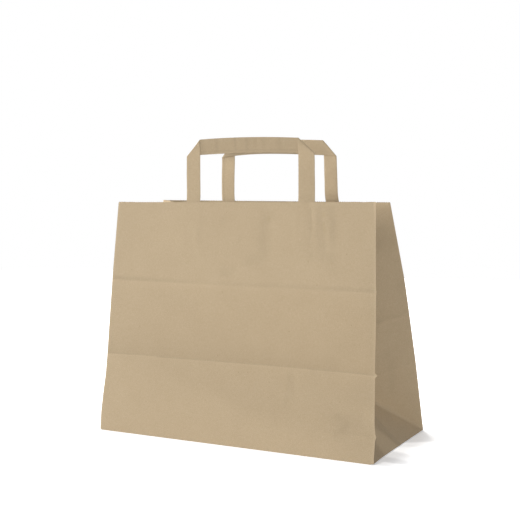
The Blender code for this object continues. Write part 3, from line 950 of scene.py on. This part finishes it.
def tipped(w, start, end, angle):
    """A line that goes up to start, then turns to this angle until end, and on straight.

    Gives how much lower (below 0) and how much further forward its point at length w is,
    by the sums of the angle's cosine less one and of its sine.
    """
    table = np.linspace(0.0, 0.09, 181)
    turn = smoothstep(start, end, table)
    step = table[1] - table[0]
    first = np.interp(w, table, np.cumsum(turn) * step)
    second = np.interp(w, table, np.cumsum(turn ** 2) * step)
    return -second * angle ** 2 / 2, first * np.sin(angle)


def make_strip_handle(name, side, place, handles, bag, material, seed):
    """One handle: the strip's section carried along its rows, folded and set on its panel.

    place holds the edges of the legs at the mouth and under the grip, and the rise of the
    grip's lower and upper edge. Between edges, a point keeps its share of the way.
    """
    (mouth_edges, grip_edges), (lower_rise, upper_rise) = place
    beyond = 0.01
    plain = np.array((-1, -1, -1, 1, 1, 1)) * handles.span / 2
    plain = plain + np.array((-beyond, 0, handles.strip, -handles.strip, 0, beyond))
    mouth_edges = [mouth_edges[0] - beyond, *mouth_edges, mouth_edges[3] + beyond]
    grip_edges = [grip_edges[0] - beyond, *grip_edges, grip_edges[3] + beyond]
    p_rows, shear = strip_rows(handles)
    across, out = strip_profile(handles)
    p_grid = p_rows[:, None] + shear[:, None] * across[None, :]
    c_grid = np.broadcast_to(across, p_grid.shape)
    low = handles.rise - handles.strip
    relief = strip_relief(p_grid, c_grid, handles, seed) * smoothstep(0.004, 0.03, p_grid)
    relief *= smoothstep(0.004, 0.03, 2 * low + handles.span - p_grid)
    near = bag.paper / 2 + handles.clearance + handles.thick / 2
    small = 0.00005

    def middle(p, c):
        """Middle plane of the strip in space."""
        u, w, layer = folded_strip(handles, p, c)
        share = np.clip(u / handles.span + 0.5, 0, 1)
        lower = np.polyval(lower_rise[::-1], share)
        upper = np.polyval(upper_rise[::-1], share)
        over_grip = np.clip((w - low) / handles.strip, 0, 1)
        lift = lower * smoothstep(0.0, low, w) + (upper - lower) * over_grip
        sunk, forward = tipped(w, low - 0.012, low + 0.008, handles.tip)
        bottom = np.interp(u, plain, mouth_edges)
        top = np.interp(u, plain, grip_edges)
        along = bottom + (top - bottom) * np.clip(w / low, 0, 1)
        depth = near + layer * handles.layer - side.inward * forward
        return side.place(along, w + lift + sunk, depth)

    here = middle(p_grid, c_grid)
    along = middle(p_grid + small, c_grid) - middle(p_grid - small, c_grid)
    cross = middle(p_grid, c_grid + small) - middle(p_grid, c_grid - small)
    normal = np.cross(along, cross)
    normal /= np.linalg.norm(normal, axis=-1)[..., None]
    outward = -side.inward
    sign = np.sign(normal[:1, :1, 1:2]) * outward
    points = here + normal * sign * (out[None, :, None] + relief[..., None])
    rows, columns = p_grid.shape
    index = np.arange(rows * columns).reshape(rows, columns)
    following = np.roll(index, -1, axis=1)
    faces = wrapped_quads(index, following).tolist()
    faces += [index[0][::-1].tolist(), index[-1].tolist()]
    uv = np.stack([c_grid, p_grid], axis=-1).reshape(-1, 2)
    edge = np.minimum(c_grid, handles.strip - c_grid)
    wear = np.exp(-(edge / 0.0006) ** 2).ravel() * 0.8
    rub = strip_shading_and_smudge(p_grid, c_grid, handles, side.inward > 0)
    piece = new_piece(name, points.reshape(-1, 3), faces, material, uv,
                      {"wear": wear, "rub": rub.ravel()}, sharp=math.radians(50))
    make_outward(piece)
    return piece


def make_outward(piece):
    """Turn a closed piece's faces outwards."""
    mesh = bmesh.new()
    mesh.from_mesh(piece.data)
    bmesh.ops.recalc_face_normals(mesh, faces=mesh.faces)
    mesh.to_mesh(piece.data)
    mesh.free()


def make_glued_patch(name, side, legs, handles, bag, material, seed):
    """Patch over a handle's ends: flat on the panel, and raised where a leg lies under it."""
    thick = bag.paper
    left = legs[0] - handles.patch_margin
    right = legs[3] + handles.patch_margin
    u = np.linspace(left, right, 150)
    w = np.linspace(-handles.patch_bottom, -handles.patch_top, 40)
    grid_u, grid_w = np.meshgrid(u, w)
    flat = bag.paper / 2 + handles.clearance
    raised = handles.thick + handles.clearance
    lift = np.zeros_like(grid_u)
    for start, end in (legs[:2], legs[2:]):
        climb = smoothstep(start - 0.004, start - 0.0003, grid_u)
        lift += climb * smoothstep(end + 0.004, end + 0.0003, grid_u)
    bump = 0.00012 * (lattice_noise(grid_u, grid_w, 0.009, seed) + 1)
    depth = flat + thick / 2 + raised * lift + bump
    near = side.place(grid_u, grid_w, depth - thick / 2)
    far = side.place(grid_u, grid_w, depth + thick / 2)
    rows, columns = grid_u.shape
    count = rows * columns
    index = np.arange(count).reshape(rows, columns)
    quads = np.stack([index[:-1, :-1], index[:-1, 1:], index[1:, 1:], index[1:, :-1]],
                     axis=-1).reshape(-1, 4)
    rim = np.concatenate([index[0, :-1], index[:-1, -1], index[-1, :0:-1], index[:0:-1, 0]])
    rim_next = np.roll(rim, -1)
    sides = np.stack([rim_next, rim, rim + count, rim_next + count], axis=-1)
    faces = np.vstack([quads, quads[:, ::-1] + count, sides])
    points = np.vstack([near.reshape(-1, 3), far.reshape(-1, 3)])
    uv = np.stack([grid_u + 0.3, grid_w + 0.3], axis=-1).reshape(-1, 2)
    edge = np.minimum(np.minimum(grid_u - left, right - grid_u),
                      np.minimum(grid_w + handles.patch_bottom, -handles.patch_top - grid_w))
    wear = np.exp(-(edge / 0.0008) ** 2).ravel() * 0.5
    marks = seeded_marks(seed, 6, right - left, 0.06)
    rub = smudges_and_shade(grid_u - left, grid_w + handles.patch_bottom, marks).ravel()
    piece = new_piece(name, points, faces, material, np.vstack([uv, uv]),
                      {"wear": np.concatenate([wear, wear]), "rub": np.concatenate([rub, rub])},
                      sharp=math.radians(40))
    make_outward(piece)
    return piece


# Materials

def add_node(tree, kind, properties=None, **inputs):
    """Add a shader node, set its properties, and set or link its inputs.

    An input is given by its name, or as i and its number.
    """
    node = tree.nodes.new(kind)
    for key, value in (properties or {}).items():
        setattr(node, key, value)
    for key, value in inputs.items():
        numbered = key[0] == "i" and key[1:].isdigit()
        socket = node.inputs[int(key[1:]) if numbered else key.replace("_", " ")]
        if isinstance(value, bpy.types.NodeSocket):
            tree.links.new(value, socket)
        else:
            socket.default_value = value
    return node


def add_math(tree, operation, first, second):
    """Result of a math node with two inputs."""
    node = add_node(tree, "ShaderNodeMath", {"operation": operation}, i0=first, i1=second)
    return node.outputs[0]


def kraft_material(name, colour, ribbed=1.0):
    """Uncoated brown kraft, rolled on a paper machine.

    It gives the eye long fibres that run up the sheet, a fine dark grain under a
    millimetre wide, clouds of denser pulp a few millimetres wide, a faint mottling over
    centimetres, sparse dark and pale specks of fibre, pale scuffed folds, and a matt
    surface with a faint polish. The sheet's attributes say where folds are scuffed (wear)
    and where the colour is darker or paler by painted light and shade and by smudge marks.
    Scales are repeats per metre on the UV map.
    Fibres are drawn about twice as coarse as real ones, so they show.
    """
    material = bpy.data.materials.new(name)
    material.use_nodes = True
    tree = material.node_tree
    shader = tree.nodes["Principled BSDF"]
    uv = add_node(tree, "ShaderNodeUVMap", {"uv_map": "sheet"}).outputs["UV"]

    def placed(across, along):
        return add_node(tree, "ShaderNodeMapping", Vector=uv, Scale=(across, along, 1.0)).outputs[0]

    def noise(across, along, detail, roughness):
        return add_node(tree, "ShaderNodeTexNoise", Vector=placed(across, along), Scale=1.0,
                        Detail=detail, Roughness=roughness).outputs["Fac"]

    fibre = noise(1400.0, 180.0, 3.0, 0.6)
    cloud = noise(420.0, 320.0, 4.0, 0.55)
    tint = noise(48.0, 40.0, 4.0, 0.65)
    grain = noise(1250.0, 1250.0, 2.0, 0.7)
    speck = add_node(tree, "ShaderNodeTexVoronoi", {"feature": "F1"}, Vector=placed(190.0, 150.0),
                     Scale=1.0, Randomness=1.0)
    wear = add_node(tree, "ShaderNodeAttribute", {"attribute_name": "wear"}).outputs["Fac"]
    rub = add_node(tree, "ShaderNodeAttribute", {"attribute_name": "rub"}).outputs["Fac"]

    def mapped(value, low, high, out_low, out_high):
        return add_node(tree, "ShaderNodeMapRange", None, Value=value, From_Min=low, From_Max=high,
                        To_Min=out_low, To_Max=out_high).outputs["Result"]

    def mixed(factor, first, second):
        return add_node(tree, "ShaderNodeMix", {"data_type": "RGBA"}, i0=factor, i6=first,
                        i7=second).outputs[2]

    base = mixed(mapped(cloud, 0.3, 0.7, 0.0, 0.12), colour, linear(FIBRE_DARK))
    base = mixed(mapped(fibre, 0.35, 0.75, 0.0, 0.14), base, linear(FIBRE_LIGHT))
    base = mixed(mapped(tint, 0.34, 0.66, 0.0, 0.07), base, linear(FIBRE_DARK))
    base = mixed(mapped(grain, 0.36, 0.64, 0.0, 0.36), base, linear(FIBRE_DARK))
    near_speck = mapped(speck.outputs["Distance"], 0.06, 0.14, 1.0, 0.0)
    which = add_node(tree, "ShaderNodeSeparateColor", None, Color=speck.outputs["Color"])
    dark_speck = add_math(tree, "MULTIPLY", near_speck,
                          mapped(which.outputs[0], 0.93, 0.95, 0.0, 0.5))
    pale_speck = add_math(tree, "MULTIPLY", near_speck,
                          mapped(which.outputs[1], 0.95, 0.97, 0.0, 0.35))
    base = mixed(dark_speck, base, linear(FIBRE_DARK))
    base = mixed(pale_speck, base, linear(FIBRE_LIGHT))
    scuff = add_math(tree, "MULTIPLY", wear, mapped(cloud, 0.35, 0.65, 0.02, 0.22))
    base = mixed(scuff, base, linear(FIBRE_LIGHT))
    # painted light and shade, with smudge marks, scale the colour: 1 at zero, 0.5 at one
    shading_scale = add_node(tree, "ShaderNodeMapRange", {"clamp": False}, Value=rub, From_Min=0.0,
                      From_Max=1.0, To_Min=1.0, To_Max=0.5).outputs["Result"]
    base = add_node(tree, "ShaderNodeVectorMath", {"operation": "SCALE"}, i0=base,
                    Scale=shading_scale).outputs["Vector"]
    tree.links.new(base, shader.inputs["Base Color"])
    tree.links.new(mapped(cloud, 0.3, 0.7, 0.72, 0.88), shader.inputs["Roughness"])
    shader.inputs["Specular IOR Level"].default_value = 0.35
    height = add_math(tree, "ADD", fibre, cloud)
    bump = add_node(tree, "ShaderNodeBump", None, Strength=0.22 * ribbed, Distance=0.00012,
                    Height=height)
    tree.links.new(bump.outputs["Normal"], shader.inputs["Normal"])
    return material


def camera_only_white(tree):
    """1 for rays from the camera and for sharp reflections, 0 for light on other things."""
    path = add_node(tree, "ShaderNodeLightPath")
    first = add_math(tree, "MAXIMUM", path.outputs["Is Camera Ray"], path.outputs["Is Glossy Ray"])
    return add_math(tree, "MAXIMUM", first, path.outputs["Is Transmission Ray"])


def floor_material():
    """Seamless white paper sweep: dull, and pure white to the camera outside the shadow.

    The glow seen by the camera grows from the bag outwards, so that the sweep stays white
    where the lamps no longer reach; weak near the base, it leaves painted shade on the floor
    at the bag's foot. Light that the sweep throws back is that of mid grey paper, so the bag
    is lit by the lamps and not from below.
    """
    material = bpy.data.materials.new("white_paper_sweep")
    material.use_nodes = True
    tree = material.node_tree
    tree.nodes.remove(tree.nodes["Principled BSDF"])
    seen = camera_only_white(tree)
    colour = add_node(tree, "ShaderNodeMix", {"data_type": "RGBA"}, i0=seen,
                      i6=linear(SWEEP_BOUNCE), i7=linear(SWEEP)).outputs[2]
    dull = add_node(tree, "ShaderNodeBsdfDiffuse", None, Color=colour).outputs[0]
    place = add_node(tree, "ShaderNodeTexCoord").outputs["Object"]

    def vector(operation, output="Vector", **inputs):
        node = add_node(tree, "ShaderNodeVectorMath", {"operation": operation}, **inputs)
        return node.outputs[output]

    beside = vector("SUBTRACT", i0=vector("ABSOLUTE", i0=place), i1=GLOW_RECTANGLE)
    away = vector("LENGTH", "Value", i0=vector("MAXIMUM", i0=beside, i1=(0.0, 0.0, 0.0)))
    near = add_node(tree, "ShaderNodeMapRange", {"interpolation_type": "SMOOTHSTEP"}, Value=away,
                    From_Min=GLOW_NEAR, From_Max=GLOW_FAR, To_Min=GLOW_LEAST,
                    To_Max=1.0).outputs["Result"]
    lift = add_math(tree, "MULTIPLY", seen, near)
    glow = add_node(tree, "ShaderNodeEmission", None, Color=(1, 1, 1, 1), Strength=lift).outputs[0]
    both = add_node(tree, "ShaderNodeAddShader", None, i0=dull, i1=glow).outputs[0]
    tree.links.new(both, tree.nodes["Material Output"].inputs["Surface"])
    return material


def soft_light(name, place, size, power):
    """Square area lamp that looks at the middle of the bag."""
    lamp = bpy.data.lights.new(name, "AREA")
    lamp.shape = "SQUARE"
    lamp.size = size
    lamp.energy = power
    item = bpy.data.objects.new(name, lamp)
    bpy.context.scene.collection.objects.link(item)
    back = np.array(place, float) - np.array((0.0, 0.0, 0.14))
    back /= np.linalg.norm(back)
    item.location = place
    item.rotation_euler = (math.acos(back[2]), 0.0, math.atan2(back[0], -back[1]))
    return item


# Operators

class KRAFT_OT_sheet(bpy.types.Operator):
    """Fold the bag's sheet: panels, gussets, base and mouth"""
    bl_idname = "kraft.sheet"
    bl_label = "Folded Sheet"

    def execute(self, context):
        bag, handles, _ = settings()
        piece = make_sheet(bag, handles, kraft_material("machine_finished_brown_kraft", bag.colour))
        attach(piece, "root")
        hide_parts("bag_body")
        return {"FINISHED"}


class KRAFT_OT_handles(bpy.types.Operator):
    """Fold the two strip handles onto the front and the rear panel"""
    bl_idname = "kraft.handles"
    bl_label = "Strip Handles"

    def execute(self, context):
        bag, handles, _ = settings()
        material = kraft_material("layered_kraft_strip", handles.colour, 0.8)
        sides = (
            ("front", PanelSide(bag, "front_left", "front_right", 1), 61, (FRONT_LEGS, FRONT_GRIP)),
            ("rear", PanelSide(bag, "rear_left", "rear_right", -1), 73, (REAR_LEGS, REAR_GRIP)),
        )
        for label, side, seed, place in sides:
            piece = make_strip_handle(f"{label}_folded_strip", side, place, handles, bag, material,
                                      seed)
            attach(piece, "root")
            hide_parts(f"{label}_handle")
        return {"FINISHED"}


class KRAFT_OT_patches(bpy.types.Operator):
    """Glue the patches over the handles' ends"""
    bl_idname = "kraft.patches"
    bl_label = "Glued Patches"

    def execute(self, context):
        bag, handles, _ = settings()
        material = kraft_material("glued_kraft_patch", linear(KRAFT_PATCH), 1.2)
        sides = (
            ("front", PanelSide(bag, "front_left", "front_right", 1), FRONT_LEGS[0], 83),
            ("rear", PanelSide(bag, "rear_left", "rear_right", -1), REAR_LEGS[0], 89),
        )
        for label, side, legs, seed in sides:
            piece = make_glued_patch(f"{label}_glued_patch", side, legs, handles, bag, material,
                                     seed)
            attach(piece, "root")
            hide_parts(f"{label}_handle_patch")
        return {"FINISHED"}


class KRAFT_OT_studio(bpy.types.Operator):
    """Lay the white floor, set the lamps and the camera"""
    bl_idname = "kraft.studio"
    bl_label = "Studio"

    def execute(self, context):
        _, _, studio = settings()
        scene = context.scene
        half = FLOOR_HALF
        corners = [(-half, -half, 0), (half, -half, 0), (half, half, 0), (-half, half, 0)]
        floor = new_piece("floor", corners, [(0, 1, 2, 3)], floor_material(), smooth=False)

        world = bpy.data.worlds.new("white_studio")
        scene.world = world
        world.use_nodes = True
        tree = world.node_tree
        background = tree.nodes["Background"]
        seen = camera_only_white(tree)
        sky = add_node(tree, "ShaderNodeMix", {"data_type": "RGBA"}, i0=seen,
                       i6=(0.96, 0.99, 1.08, 1), i7=(1, 1, 1, 1)).outputs[2]
        tree.links.new(sky, background.inputs["Color"])
        strength = add_node(tree, "ShaderNodeMapRange", None, Value=seen, To_Min=studio.fill,
                            To_Max=1.0).outputs[0]
        tree.links.new(strength, background.inputs["Strength"])

        for name, place, size, power in LAMPS:
            soft_light(name, place, size, power * studio.key)
        name, place, size, power = FLOOR_LAMP
        floor_lamp = soft_light(name, place, size, power * studio.key)
        receivers = bpy.data.collections.new("floor_lamp_receivers")
        receivers.objects.link(floor)
        floor_lamp.light_linking.receiver_collection = receivers

        azimuth, elevation = studio.azimuth, studio.elevation
        back = np.array((math.sin(azimuth) * math.cos(elevation),
                         -math.cos(azimuth) * math.cos(elevation), math.sin(elevation)))
        right = np.array((math.cos(azimuth), math.sin(azimuth), 0.0))
        up = np.cross(back, right)
        place = (np.array((0, 0, AIM_HEIGHT + BASE_HEIGHT)) + back * studio.distance
                 - right * SHIFT_LEFT + up * SHIFT_UP)
        data = bpy.data.cameras.new("camera")
        data.sensor_width = 36.0
        data.lens = studio.focal_pixels / FRAME_PIXELS * data.sensor_width
        camera = bpy.data.objects.new("camera", data)
        scene.collection.objects.link(camera)
        camera.location = place
        camera.rotation_euler = (math.pi / 2 - elevation, 0.0, azimuth)
        scene.camera = camera
        scene.view_settings.view_transform = "Standard"
        return {"FINISHED"}


class KRAFT_PT_panel(bpy.types.Panel):
    """Lists the bag's pieces and its sizes"""
    bl_idname = "KRAFT_PT_panel"
    bl_label = "Kraft Carrier Bag"
    bl_space_type = "VIEW_3D"
    bl_region_type = "UI"
    bl_category = "Bag"

    def draw(self, context):
        layout = self.layout
        for operator in OPERATORS:
            layout.operator(operator.bl_idname)
        for group in settings():
            for name in group.__annotations__:
                layout.prop(group, name)


OPERATORS = (KRAFT_OT_sheet, KRAFT_OT_handles, KRAFT_OT_patches, KRAFT_OT_studio)
GROUPS = {"kraft_bag": BagSettings, "kraft_handles": HandleSettings, "kraft_studio": StudioSettings}


def register():
    for cls in (*GROUPS.values(), *OPERATORS, KRAFT_PT_panel):
        bpy.utils.register_class(cls)
    for name, group in GROUPS.items():
        setattr(bpy.types.Scene, name, PointerProperty(type=group))


def unregister():
    for name in GROUPS:
        delattr(bpy.types.Scene, name)
    for cls in (KRAFT_PT_panel, *reversed(OPERATORS), *GROUPS.values()):
        bpy.utils.unregister_class(cls)


def plain(box):
    """A box of vectors as plain lists of numbers."""
    return [[float(value) for value in corner] for corner in box]


def main():
    register()
    bpy.ops.kraft.sheet()
    bpy.ops.kraft.handles()
    bpy.ops.kraft.patches()
    bpy.ops.kraft.studio()


if __name__ == "__main__":
    main()
